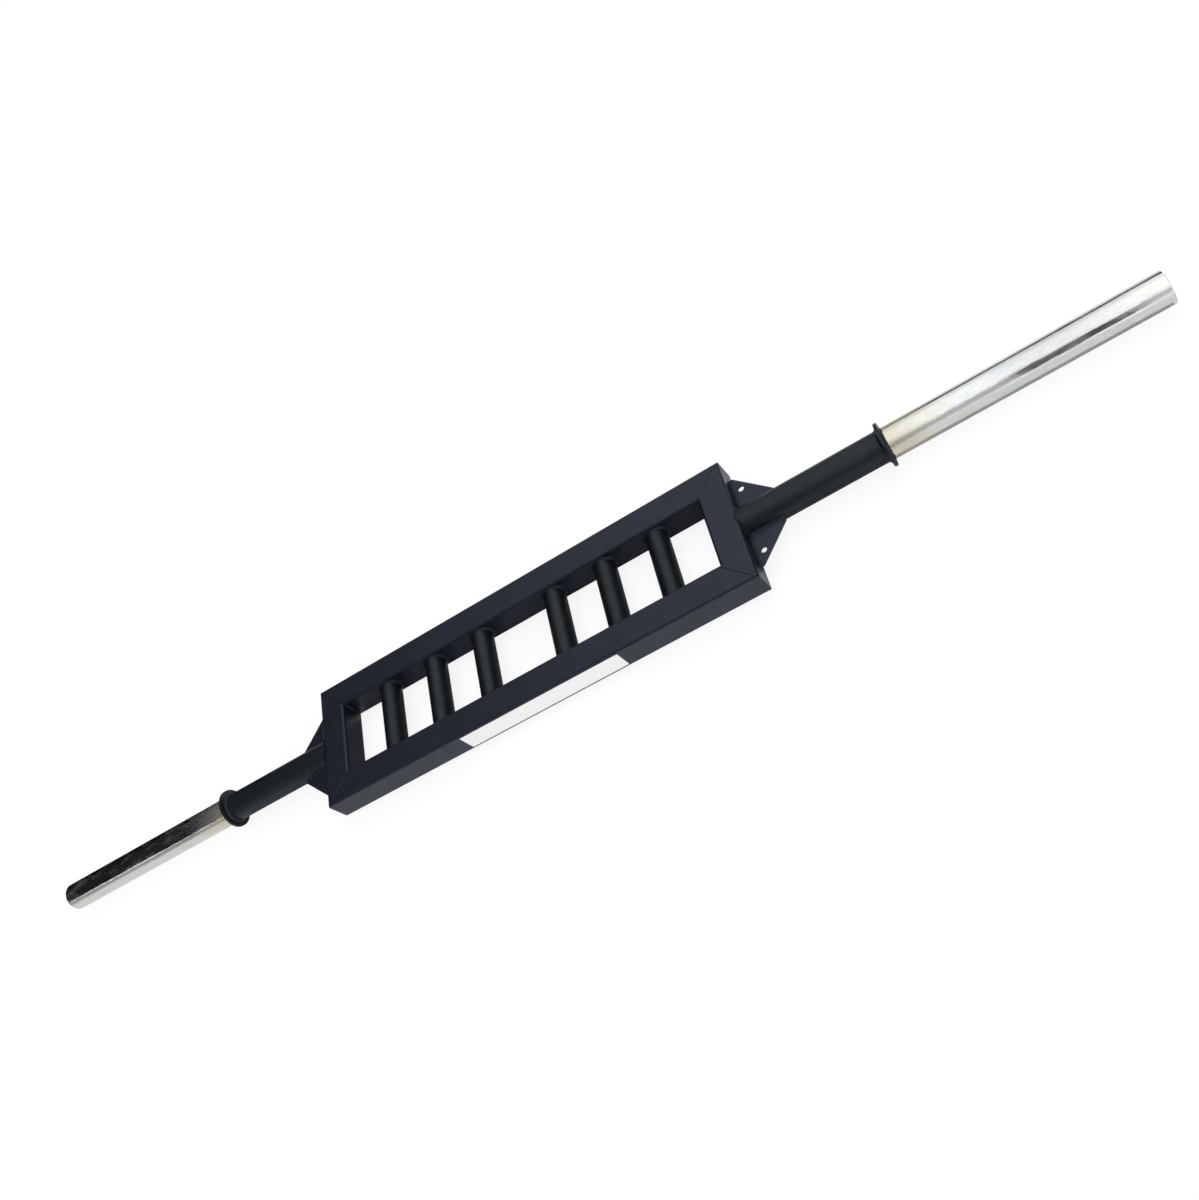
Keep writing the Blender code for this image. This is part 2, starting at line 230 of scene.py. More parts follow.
def powder_coat(name, dark, light, tint, gloss, least_rough, most_rough):
    """Polyester powder coat, sprayed dry and baked on: satin black.

    The orange peel skin breaks up its soft highlights. The real one's waves are about
    1 mm, drawn as 3 mm so that they show. Faint clouds of 45 mm keep wide faces alive, and
    its gloss wanders a little over 20 mm, as it does where the coat is thin or thick.
    """
    mat, tree = new_material(name)
    place = node(tree, "TexCoord").outputs["Object"]
    clouds = node(tree, "TexNoise", {"Vector": place, "Scale": 1 / (45 * MM)})
    clouds = node(tree, "MapRange", {"Value": clouds, "From Min": 0.3, "From Max": 0.7})
    colour = node(tree, "Mix", {"Factor": clouds, "A": linear(dark), "B": linear(light)},
                  data_type="RGBA")
    patches = node(tree, "TexNoise", {"Vector": place, "Scale": 1 / (20 * MM)})
    rough = node(tree, "MapRange", {"Value": patches, "From Min": 0.3, "From Max": 0.7,
                                    "To Min": least_rough, "To Max": most_rough})
    peel = node(tree, "TexNoise", {"Vector": place, "Scale": 1 / (3 * MM), "Detail": 3})
    bump = node(tree, "Bump", {"Height": peel, "Strength": 0.7, "Distance": 0.4 * MM})
    shader = node(tree, "BsdfPrincipled", {"Base Color": colour, "Roughness": rough,
                                           "Normal": bump, "IOR": 1.5,
                                           "Specular IOR Level": gloss,
                                           "Specular Tint": linear(tint)})
    node(tree, "OutputMaterial", {"Surface": shader})
    return mat


def zinc_plating():
    """Bright zinc plating on drawn steel tube: a cold, nearly mirror grey.

    Lines from the drawing run along the tube, about 3 mm apart, and long waves about 8 mm
    wide bend what it mirrors. Warm, pink and blue clouds of the passivation lie over it, and
    fine stains of 2 mm, drawn that coarse so that they show. A thin bloom in patches of
    14 mm scatters a little light. The weld's heat has left it dull and straw-coloured by the
    collar, plates have rubbed its end dull, and the black coat's spray ends raggedly just
    past the collar's weld.
    """
    mat, tree = new_material("bright_zinc_plating")
    place = node(tree, "TexCoord").outputs["Object"]
    patterns = []
    # Each pattern's width in mm, how many times longer it is along the tube, and its detail
    for width, stretch, detail in ((3, 50, 2), (8, 5, 3), (2, 4, 3), (14, 3, 4), (22, 4, 2)):
        drawn = node(tree, "Mapping", {"Vector": place, "Scale": (1 / stretch, 1, 1)})
        patterns.append(node(tree, "TexNoise", {"Vector": drawn, "Scale": 1 / (width * MM),
                                                "Detail": detail}))
    lines, waves, stains, clouds, film = patterns

    # How far out along the bar, and the same made ragged by the clouds, which add about 80 mm
    along = node(tree, "SeparateXYZ", {"Vector": place}).outputs["X"]
    out = node(tree, "Math", {0: along}, operation="ABSOLUTE")
    ragged = node(tree, "Math", {0: clouds, 1: 0.16, 2: out}, operation="MULTIPLY_ADD")
    burnt = node(tree, "MapRange", {"Value": ragged, "From Min": COLLAR_X + 0.10,
                                    "From Max": COLLAR_X + 0.165, "To Min": 1, "To Max": 0})
    rubbed = node(tree, "MapRange", {"Value": ragged, "From Min": BAR_END + 0.02,
                                     "From Max": BAR_END + 0.09})

    # Layers of colour: the pattern, where in it a layer starts and is full, its share, its hex
    layers = ((film, 0.30, 0.44, 1, "E2E2DF"), (film, 0.60, 0.69, 1, "E2DED2"),
              (film, 0.67, 0.74, 1, "E0D7DA"), (stains, 0.35, 0.65, 0.25, "B4B5AC"))
    tint = linear("D6DCDF")
    for pattern, start, full, most, layer in layers:
        share = node(tree, "MapRange", {"Value": pattern, "From Min": start, "From Max": full,
                                        "To Max": most})
        tint = node(tree, "Mix", {"Factor": share, "A": tint, "B": linear(layer)},
                    data_type="RGBA")
    tint = node(tree, "Mix", {"Factor": burnt, "A": tint, "B": linear("D6D0BE")},
                data_type="RGBA")

    # The black coat's spray, which ends 4.2 to 6.4 mm past the collar's middle
    spray = node(tree, "TexNoise", {"Vector": place, "Scale": 1 / (3 * MM)})
    spray = node(tree, "MapRange", {"Value": spray, "From Min": 0.3, "From Max": 0.7,
                                    "To Min": 4.2 * MM, "To Max": 6.4 * MM})
    past = node(tree, "Math", {0: out, 1: COLLAR_X}, operation="SUBTRACT")
    past = node(tree, "Math", {0: past, 1: spray}, operation="SUBTRACT")
    bare = node(tree, "MapRange", {"Value": past, "From Max": 0.6 * MM})
    colour = node(tree, "Mix", {"Factor": bare, "A": linear("0D0F16"), "B": tint},
                  data_type="RGBA")

    # How metallic and how rough it is, and its two depths of relief
    clear = node(tree, "MapRange", {"Value": burnt, "To Min": 1, "To Max": 0.82})
    bloom = node(tree, "MapRange", {"Value": clouds, "From Min": 0.45, "From Max": 0.62,
                                    "To Min": 1, "To Max": 0.95})
    metal = node(tree, "Math", {0: bare, 1: clear}, operation="MULTIPLY")
    metal = node(tree, "Math", {0: metal, 1: bloom}, operation="MULTIPLY")
    rough = node(tree, "MapRange", {"Value": clouds, "From Min": 0.35, "From Max": 0.65,
                                    "To Min": 0.08, "To Max": 0.17})
    rough = node(tree, "Math", {0: burnt, 1: 0.10, 2: rough}, operation="MULTIPLY_ADD")
    rough = node(tree, "Math", {0: rubbed, 1: 0.09, 2: rough}, operation="MULTIPLY_ADD")
    bump = node(tree, "Bump", {"Height": lines, "Strength": 0.5, "Distance": 0.25 * MM})
    bump = node(tree, "Bump", {"Height": waves, "Strength": 0.5, "Distance": 0.5 * MM,
                               "Normal": bump})
    shader = node(tree, "BsdfPrincipled", {"Base Color": colour, "Metallic": metal,
                                           "Roughness": rough, "Normal": bump})
    node(tree, "OutputMaterial", {"Surface": shader})
    return mat


def plug_plastic():
    """Moulded polyethylene: dull black, with its mould's grain, and faint clouds of 9 mm."""
    mat, tree = new_material("moulded_polyethylene")
    place = node(tree, "TexCoord").outputs["Object"]
    clouds = node(tree, "TexNoise", {"Vector": place, "Scale": 1 / (9 * MM)})
    colour = node(tree, "Mix", {"Factor": clouds, "A": linear("17181A"), "B": linear("1D1E20")},
                  data_type="RGBA")
    grain = node(tree, "TexNoise", {"Vector": place, "Scale": 1 / (0.8 * MM)})
    bump = node(tree, "Bump", {"Height": grain, "Strength": 0.3, "Distance": 0.1 * MM})
    shader = node(tree, "BsdfPrincipled", {"Base Color": colour, "Roughness": 0.55,
                                           "IOR": 1.51, "Normal": bump})
    node(tree, "OutputMaterial", {"Surface": shader})
    return mat


def sticker_vinyl():
    """Calendered vinyl sticker: white, half gloss, a little uneven over the coat under it."""
    mat, tree = new_material("white_vinyl")
    place = node(tree, "TexCoord").outputs["Object"]
    clouds = node(tree, "TexNoise", {"Vector": place, "Scale": 1 / (30 * MM)})
    colour = node(tree, "Mix", {"Factor": clouds, "A": linear("F6F4F1"), "B": linear("FAF8F6")},
                  data_type="RGBA")
    rolled = node(tree, "Mapping", {"Vector": place, "Scale": (1 / 3, 1, 1)})
    waves = node(tree, "TexNoise", {"Vector": rolled, "Scale": 1 / (6 * MM), "Detail": 1})
    bump = node(tree, "Bump", {"Height": waves, "Strength": 0.2, "Distance": 0.1 * MM})
    shader = node(tree, "BsdfPrincipled", {"Base Color": colour, "Roughness": 0.38,
                                           "IOR": 1.5, "Normal": bump})
    node(tree, "OutputMaterial", {"Surface": shader})
    return mat


def only(*objects):
    """Select just these objects. The last one is the active one."""
    bpy.ops.object.select_all(action="DESELECT")
    for obj in objects:
        obj.select_set(True)
        bpy.context.view_layer.objects.active = obj


def settle(obj):
    """Write the object's place, turn and scale into its mesh."""
    only(obj)
    bpy.ops.object.transform_apply(location=True, rotation=True, scale=True)


def edit(obj, kind, wanted):
    """Go into edit mode with the wanted edges or faces selected."""
    only(obj)
    bpy.ops.object.mode_set(mode="EDIT")
    bpy.ops.mesh.select_mode(type=kind)
    bpy.ops.mesh.select_all(action="DESELECT")
    mesh = bmesh.from_edit_mesh(obj.data)
    for item in mesh.edges if kind == "EDGE" else mesh.faces:
        if wanted(item):
            item.select_set(True)
    bmesh.update_edit_mesh(obj.data)


def object_mode():
    """Come back out of edit mode."""
    bpy.ops.object.mode_set(mode="OBJECT")


def new_object(name, data):
    """An object in the scene for a curve, a lamp or a camera."""
    obj = bpy.data.objects.new(name, data)
    bpy.context.scene.collection.objects.link(obj)
    return obj


def add_outline(curve, outline):
    """Add a closed line of straight steps to a flat curve."""
    spline = curve.splines.new("POLY")
    spline.points.add(len(outline) - 1)
    spline.use_cyclic_u = True
    for point, (x, y) in zip(spline.points, outline):
        point.co = (x, y, 0, 1)


def to_mesh(obj):
    """Turn a curve into a mesh without doubles, whose faces look outwards."""
    only(obj)
    bpy.ops.object.convert(target="MESH")
    edit(obj, "FACE", lambda face: True)
    bpy.ops.mesh.remove_doubles(threshold=TOUCH)
    bpy.ops.mesh.normals_make_consistent(inside=False)
    object_mode()


def join(name, objects):
    """Make one object of several. Round faces are smooth, and flat ones stay flat."""
    only(*objects)
    if len(objects) > 1:
        bpy.ops.object.join()
    obj = bpy.context.object
    obj.name = name
    bpy.ops.object.shade_smooth_by_angle(angle=math.radians(SMOOTH_ANGLE))
    even = obj.modifiers.new("even", "WEIGHTED_NORMAL")
    even.keep_sharp = True
    bpy.ops.object.modifier_apply(modifier=even.name)
    return obj


def dress(obj, mat, slot, *nodes):
    """Give a finished piece its material, and let it stand for the model's nodes."""
    obj.data.materials.clear()
    obj.data.materials.append(mat)
    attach(obj, "root")
    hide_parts(*nodes)


def turned_copy(obj, name, turn):
    """A copy with its own mesh, turned about the bar's middle."""
    only(obj)
    bpy.ops.object.duplicate(linked=False)
    copy = bpy.context.object
    copy.name = name
    copy.rotation_euler = turn
    settle(copy)
    return copy


def both_ends(name, parts, mat, slot, replaced):
    """Join the parts of the right end's piece, turn a copy to the left end, and dress both."""
    right = join(name + "_right", parts)
    left = turned_copy(right, name + "_left", (0, 0, math.pi))
    dress(right, mat, slot, replaced + "_right")
    dress(left, mat, slot, replaced + "_left")


def square_tube(centre, size, axis):
    """A length of square tube along an axis (0 is X, 1 is Y), with its long edges rounded."""
    bpy.ops.mesh.primitive_cube_add(size=1, location=centre)
    obj = bpy.context.object
    obj.scale = size
    settle(obj)
    edit(obj, "EDGE", lambda edge: abs(edge.verts[0].co[axis] - edge.verts[1].co[axis]) > NEAR)
    bpy.ops.mesh.bevel(offset=SECTION_RADIUS, segments=8, affect="EDGES")
    object_mode()
    return obj


def cut_mitre(obj, side, edge, long_side):
    """Cut the tube along a frame corner's diagonal, and chamfer the cut above and below.

    The chamfers make room for the weld. A long side keeps what is nearer the frame's middle
    along X. Slivers that a chamfer leaves in the rounded edges are merged away.
    """
    x, y = SIDES[side], EDGES[edge]
    normal = Vector((x, -y, 0)).normalized() * (1 if long_side else -1)
    corner = Vector((x * MEMBER_X, y * RAIL_Y, 0))
    edit(obj, "FACE", lambda face: True)
    bpy.ops.mesh.bisect(plane_co=corner, plane_no=normal, use_fill=True, clear_outer=True)
    object_mode()
    edit(obj, "EDGE", lambda item: all(abs((vert.co - corner).dot(normal)) < TOUCH
                                       and abs(vert.co.z) > SEAM_END for vert in item.verts))
    bpy.ops.mesh.bevel(offset=SEAM_BEADS[side, edge] + UNDERCUT, segments=1, affect="EDGES",
                       clamp_overlap=False)
    bpy.ops.mesh.select_all(action="SELECT")
    bpy.ops.mesh.remove_doubles(threshold=TOUCH)
    object_mode()


def round_bar(radius, start, end, axis, sides):
    """A round bar along X or Y, centred on the other axes."""
    middle = (start + end) / 2
    place = (middle, 0, 0) if axis == "X" else (0, middle, 0)
    turn = (0, math.pi / 2, 0) if axis == "X" else (math.pi / 2, 0, 0)
    bpy.ops.mesh.primitive_cylinder_add(vertices=sides, radius=radius, depth=end - start,
                                        location=place, rotation=turn)
    obj = bpy.context.object
    settle(obj)
    return obj


def is_end(face):
    """Whether a face is the flat end of a round bar, and not one of the flats round it."""
    return len(face.verts) > 4


def break_rims(obj, on_rim, size):
    """Round off the edges that run round the bar's axis and lie where on_rim says."""
    def wanted(edge):
        first, second = (vert.co for vert in edge.verts)
        same_radius = abs(first.yz.length - second.yz.length) < TOUCH
        runs_round = same_radius and abs(first.x - second.x) < TOUCH
        return runs_round and on_rim(first) and on_rim(second)
    edit(obj, "EDGE", wanted)
    bpy.ops.mesh.bevel(offset=size, segments=3, affect="EDGES")
    object_mode()


def ripple(index):
    """How far a hand-laid bead swells at a step along it: a scallop, and two slow waves."""
    scallop = 0.12 * SCALLOP[index % len(SCALLOP)]
    long_wave = 0.05 * math.sin(0.31 * index)
    short_wave = 0.03 * math.sin(0.83 * index)
    return 0.90 + scallop + long_wave + short_wave


def section(outline):
    """A bead's cross-section, for a bead of 1 m. Its origin runs along the bead's root."""
    curve = bpy.data.curves.new("section", "CURVE")
    curve.dimensions = "2D"
    add_outline(curve, outline)
    return new_object("section", curve)


def fillet_section(side_x, side_y):
    """The section of a bead in a right-angled corner: a slightly hollow triangle."""
    steps = 6
    root = 0.15
    hollow = 2.3
    outline = [(-root, -root), (1, -root)]
    for step in range(steps + 1):
        angle = step / steps * math.pi / 2
        outline.append((math.cos(angle) ** hollow, math.sin(angle) ** hollow))
    outline.append((-root, 1))
    return section([(side_x * x, side_y * y) for x, y in outline])


def seam_section(half_width, face):
    """The section of a bead ground nearly flush: a low dome, over a root that fills its groove."""
    steps = 8
    rise = SEAM_DOME / half_width
    sunk = 1.3 * UNDERCUT / half_width
    outline = [(1, -sunk), (0, -1 - sunk), (-1, -sunk)]
    for step in range(steps + 1):
        x = -1 + 2 * step / steps
        outline.append((x, rise * (1 - x * x)))
    return section([(x, face * y) for x, y in outline])


def bead(route, legs, closed, shape):
    """A weld bead along the route, thicker at every ripple. The section's object is used up."""
    curve = bpy.data.curves.new("bead", "CURVE")
    curve.dimensions = "3D"
    curve.use_fill_caps = not closed
    curve.bevel_mode = "OBJECT"
    curve.bevel_object = shape
    spline = curve.splines.new("POLY")
    spline.points.add(len(route) - 1)
    spline.use_cyclic_u = closed
    for index, (point, place, leg) in enumerate(zip(spline.points, route, legs)):
        point.co = (*place, 1.0)
        point.radius = leg * ripple(index)
    obj = new_object("bead", curve)
    to_mesh(obj)
    bpy.data.objects.remove(shape)
    return obj


def steps_for(length):
    """Steps along a bead of this length: a whole number of ripples."""
    return len(SCALLOP) * max(2, round(length / RIPPLE))


def ring_bead(place, radius, leg, axis, side, top_leg=None):
    """A bead round a tube, against a face that the given side of it looks away from.

    It is as small as top_leg at the top and the bottom, where one is given.
    """
    steps = steps_for(2 * math.pi * radius)
    angles = [2 * math.pi * step / steps for step in range(steps)]
    top_leg = top_leg or leg
    legs = [top_leg + (leg - top_leg) * math.sin(a) ** 2 for a in angles]
    if axis == "X":
        route = [(place, radius * math.sin(a), radius * math.cos(a)) for a in angles]
    else:
        route = [(radius * math.sin(a), place, radius * math.cos(a)) for a in angles]
    return bead(route, legs, True, fillet_section(side, 1))


def straight_bead(start, end, leg, side_x, side_y):
    """A bead from start to end, smaller where the arc was struck and where it was stopped."""
    start = Vector(start)
    end = Vector(end)
    steps = steps_for((end - start).length)
    route = [start.lerp(end, step / steps) for step in range(steps + 1)]
    legs = [leg * min(1.0, STRUCK + STRUCK_GAIN * min(step, steps - step))
            for step in range(steps + 1)]
    return bead(route, legs, False, fillet_section(side_x, side_y))


def make_side_tubes(coat):
    """The frame's two long sides, of square tube, mitred at both ends."""
    for edge, y in EDGES.items():
        rail = square_tube((0, y * RAIL_Y, 0), (2 * HALF_LENGTH + SECTION, SECTION, SECTION), 0)
        for side in SIDES:
            cut_mitre(rail, side, edge, True)
        tube = join("side_tube_" + edge, [rail])
        dress(tube, coat, "black_powder_coat", "rail_" + edge)


def mitre_bead(side, edge, face):
    """The low weld over one mitre, on the top (1) or the underside (-1).

    It dips into the rounded edges, and narrows to the frame's outer corner.
    """
    straight = SECTION / 2 - SECTION_RADIUS
    dip_steps = 6
    turns = [math.radians(SEAM_DIP) * step / dip_steps for step in range(dip_steps + 1)]
    ends = [(straight + SECTION_RADIUS * math.sin(a), straight + SECTION_RADIUS * math.cos(a))
            for a in turns]
    steps = steps_for(2 * math.sqrt(2) * straight)
    middle = [(straight * (2 * step / steps - 1), SECTION / 2) for step in range(1, steps)]
    line = [(-u, z) for u, z in reversed(ends)] + middle + ends
    route = [(SIDES[side] * (MEMBER_X + u), EDGES[edge] * (RAIL_Y + u), face * z) for u, z in line]
    width = SEAM_BEADS[side, edge]
    room = ends[-1][0] + SEAM_TIP
    widths = [min(width, math.sqrt(2) * (room - u)) for u, _ in line]
    return bead(route, widths, False, seam_section(width, face))


def make_end_tubes(coat):
    """The frame's two short sides, with the welds at their mitres and inside corners."""
    reach = SECTION / 2 - SECTION_RADIUS
    for side, x in SIDES.items():
        member = square_tube((x * MEMBER_X, 0, 0), (SECTION, 2 * HALF_WIDTH + SECTION, SECTION), 1)
        parts = [member]
        for edge, y in EDGES.items():
            cut_mitre(member, side, edge, False)
            parts += [mitre_bead(side, edge, face) for face in (-1, 1)]
            corner = (x * HALF_WINDOW, y * HALF_GRIP)
            parts.append(straight_bead((*corner, -reach), (*corner, reach), CORNER_BEAD, -x, y))
        tube = join("end_tube_" + side, parts)
        dress(tube, coat, "black_powder_coat", "end_member_" + side)


def make_grips(coat):
    """The six handles, each a plain round tube with a weld bead round both ends."""
    tube = round_bar(HANDLE_R, -HALF_GRIP, HALF_GRIP, "Y", GRIP_SIDES)
    beads = [ring_bead(side * HALF_GRIP, HANDLE_R, GRIP_BEAD, "Y", side, GRIP_TOP_BEAD)
             for side in (-1, 1)]
    grip = join("grip", [tube] + beads)
    for name in sorted(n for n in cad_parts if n.startswith("handle_")):
        low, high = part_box(name)
        copy = turned_copy(grip, name.replace("handle", "grip"), (0, 0, 0))
        copy.location.x = (low.x + high.x) / 2
        settle(copy)
        dress(copy, coat, "black_powder_coat", name)
    bpy.data.objects.remove(grip)


def arm_bead():
    """The bead round an arm, which dips into the end tube's rounded edges at top and bottom."""
    steps = steps_for(2 * math.pi * TUBE_R)
    flat = SECTION / 2 - SECTION_RADIUS
    route = []
    legs = []
    for step in range(steps):
        angle = 2 * math.pi * step / steps
        past = max(0.0, abs(TUBE_R * math.cos(angle)) - flat)
        drop = SECTION_RADIUS - math.sqrt(max(0.0, SECTION_RADIUS ** 2 - past ** 2))
        route.append((HALF_LENGTH - drop, TUBE_R * math.sin(angle), TUBE_R * math.cos(angle)))
        legs.append(ARM_BEAD + (ARM_TOP_BEAD - ARM_BEAD) * min(1.0, past / SECTION_RADIUS))
    return bead(route, legs, True, fillet_section(1, 1))


def make_arms(coat):
    """The round tubes between the frame and the collars."""
    tube = round_bar(TUBE_R, HALF_LENGTH - SECTION_RADIUS, COLLAR_X, "X", BAR_SIDES)
    both_ends("arm", [tube, arm_bead()], coat, "black_powder_coat", "arm_tube")


def make_collars(coat):
    """The plate stops: a flat ring with a bead on each side."""
    inner = COLLAR_X - COLLAR_THICKNESS / 2
    outer = COLLAR_X + COLLAR_THICKNESS / 2
    ring = round_bar(COLLAR_R, inner, outer, "X", BAR_SIDES)
    edit(ring, "FACE", is_end)
    bpy.ops.mesh.inset(thickness=COLLAR_R - TUBE_R)
    bpy.ops.mesh.bridge_edge_loops()
    object_mode()
    break_rims(ring, lambda place: place.yz.length > COLLAR_R - NEAR, COLLAR_EDGE)
    beads = [ring_bead(inner, TUBE_R, COLLAR_BEADS["arm"], "X", -1),
             ring_bead(outer, TUBE_R, COLLAR_BEADS["sleeve"], "X", 1)]
    both_ends("plate_stop", [ring] + beads, coat, "black_powder_coat", "collar")


def make_sleeves(zinc):
    """The bright tubes for the plates, open at the end, with the cut edge broken."""
    bpy.ops.mesh.primitive_cylinder_add(vertices=BAR_SIDES, radius=TUBE_R,
                                        depth=BAR_END - COLLAR_X, end_fill_type="NOTHING",
                                        location=((BAR_END + COLLAR_X) / 2, 0, 0),
                                        rotation=(0, math.pi / 2, 0))
    tube = bpy.context.object
    settle(tube)
    wall = tube.modifiers.new("wall", "SOLIDIFY")
    wall.thickness = TUBE_WALL
    wall.offset = -1.0
    bpy.ops.object.modifier_apply(modifier=wall.name)
    break_rims(tube, lambda place: place.x > BAR_END - NEAR, SLEEVE_EDGE)
    both_ends("plate_sleeve", [tube], zinc, "zinc_plated_steel", "sleeve")


def make_plugs(plastic):
    """The push-in plugs, with a raised rim round a shallow dish."""
    plug = round_bar(PLUG_HIGH.z, PLUG_LOW.x, PLUG_HIGH.x, "X", GRIP_SIDES)
    edit(plug, "FACE", lambda face: is_end(face) and face.normal.x > 0)
    bpy.ops.mesh.inset(thickness=PLUG_RIM)
    bpy.ops.mesh.inset(thickness=PLUG_DISH, depth=-PLUG_DISH)
    object_mode()
    break_rims(plug, lambda place: place.x > PLUG_HIGH.x - NEAR
               and place.yz.length > PLUG_HIGH.z - NEAR, PLUG_EDGE)
    both_ends("sleeve_plug", [plug], plastic, "black_plastic", "end_plug")


def flat_plate(outlines, thickness, edge):
    """A flat plate with softly rounded edges. The outlines are its rim and its holes."""
    curve = bpy.data.curves.new("plate", "CURVE")
    curve.dimensions = "2D"
    curve.fill_mode = "BOTH"
    curve.extrude = thickness / 2 - edge
    curve.bevel_depth = edge
    curve.bevel_resolution = 1
    curve.offset = -edge
    for outline in outlines:
        add_outline(curve, outline)
    obj = new_object("plate", curve)
    to_mesh(obj)
    return obj


def circle(x, y, radius, steps):
    """Points round a circle."""
    angles = [2 * math.pi * step / steps for step in range(steps)]
    return [(x + radius * math.cos(a), y + radius * math.sin(a)) for a in angles]


def make_gussets(coat):
    """The four corner plates, each with its hole and its welds on both faces."""
    corner = [(GUSSET_SNIPE, 0), (GUSSET_LEG, 0), (GUSSET_LEG, GUSSET_BLUNT),
              (GUSSET_BLUNT, GUSSET_LEG), (0, GUSSET_LEG), (0, GUSSET_SNIPE)]
    outline = [(HALF_LENGTH + x, TUBE_R + y) for x, y in corner]
    hole = circle(HALF_LENGTH + GUSSET_HOLE[0], TUBE_R + GUSSET_HOLE[1], GUSSET_HOLE_R, steps=40)
    parts = [flat_plate([outline, hole], GUSSET_THICKNESS, GUSSET_EDGE)]
    near, far = GUSSET_WELD
    for face in (-1, 1):
        z = face * GUSSET_THICKNESS / 2
        parts.append(straight_bead((HALF_LENGTH + near, TUBE_R, z), (HALF_LENGTH + far, TUBE_R, z),
                                   GUSSET_BEAD, -1, face))
        parts.append(straight_bead((HALF_LENGTH, TUBE_R + near, z), (HALF_LENGTH, TUBE_R + far, z),
                                   GUSSET_FRAME_BEAD, 1, face))
    plate = join("corner_plate", parts)
    turns = {"rear_right": (0, 0, 0), "front_right": (math.pi, 0, 0),
             "front_left": (0, 0, math.pi), "rear_left": (0, math.pi, 0)}
    for corner_name, turn in turns.items():
        copy = turned_copy(plate, "corner_plate_" + corner_name, turn)
        dress(copy, coat, "black_powder_coat", "gusset_" + corner_name)
    bpy.data.objects.remove(plate)


def make_sticker(vinyl):
    """The blank sticker on the front tube, with small round corners."""
    half_width = (LABEL_HIGH.x - LABEL_LOW.x) / 2 - STICKER_CORNER
    half_height = (LABEL_HIGH.z - LABEL_LOW.z) / 2 - STICKER_CORNER
    corner_steps = 4
    outline = []
    for quarter, (side_x, side_y) in enumerate(((1, 1), (-1, 1), (-1, -1), (1, -1))):
        for step in range(corner_steps + 1):
            angle = (quarter + step / corner_steps) * math.pi / 2
            outline.append((side_x * half_width + STICKER_CORNER * math.cos(angle),
                            side_y * half_height + STICKER_CORNER * math.sin(angle)))
    sticker = flat_plate([outline], STICKER_THICKNESS, STICKER_EDGE)
    sticker.rotation_euler = (math.pi / 2, 0, 0)
    sticker.location = ((LABEL_LOW.x + LABEL_HIGH.x) / 2, -HALF_WIDTH - STICKER_THICKNESS / 2,
                        (LABEL_LOW.z + LABEL_HIGH.z) / 2)
    settle(sticker)
    sticker = join("sticker", [sticker])
    dress(sticker, vinyl, "white_label", "label")


def white_ray(tree):
    """1 for rays that show the background: from the camera, a reflection or through glass."""
    path = node(tree, "LightPath").outputs
    seen = node(tree, "Math", {0: path["Is Camera Ray"], 1: path["Is Glossy Ray"]},
                operation="MAXIMUM")
    return node(tree, "Math", {0: seen, 1: path["Is Transmission Ray"]}, operation="MAXIMUM")


def make_floor():
    """The pale floor that the bar lies on, out to the tent."""
    bpy.ops.mesh.primitive_circle_add(vertices=96, radius=TENT_R, fill_type="NGON",
                                      location=(0, 0, FLOOR_Z))
    floor = bpy.context.object
    floor.name = "floor"
    mat, tree = new_material("pale_floor")
    mat.cycles.emission_sampling = "NONE"
    # The camera and reflections see a grey floor that glows up to white and keeps its shadows
    mirrored = node(tree, "LightPath").outputs["Is Glossy Ray"]
    strength = node(tree, "Mix", {"Factor": mirrored, "A": FLOOR_GLOW, "B": MIRRORED_GLOW})
    glow = node(tree, "Emission", {"Strength": strength})
    shown = node(tree, "BsdfDiffuse", {"Color": linear("7A7A7A")})
    bright = node(tree, "AddShader", {0: shown, 1: glow})
    # The light that the floor sends back to the bar comes from a plain matt one
    matt = node(tree, "BsdfDiffuse", {"Color": linear("F0F0F0")})
    surface = node(tree, "MixShader", {0: white_ray(tree), 1: matt, 2: bright})
    node(tree, "OutputMaterial", {"Surface": surface})
    floor.data.materials.append(mat)


def set_levels(ramp, stops):
    """Give a colour ramp grey levels. A stop's place goes from -1 to 1."""
    ramp.elements.remove(ramp.elements[1])
    for index, (at, level) in enumerate(stops):
        element = ramp.elements.new(at / 2 + 0.5) if index else ramp.elements[0]
        element.position = at / 2 + 0.5
        element.color = (level, level, level, 1)


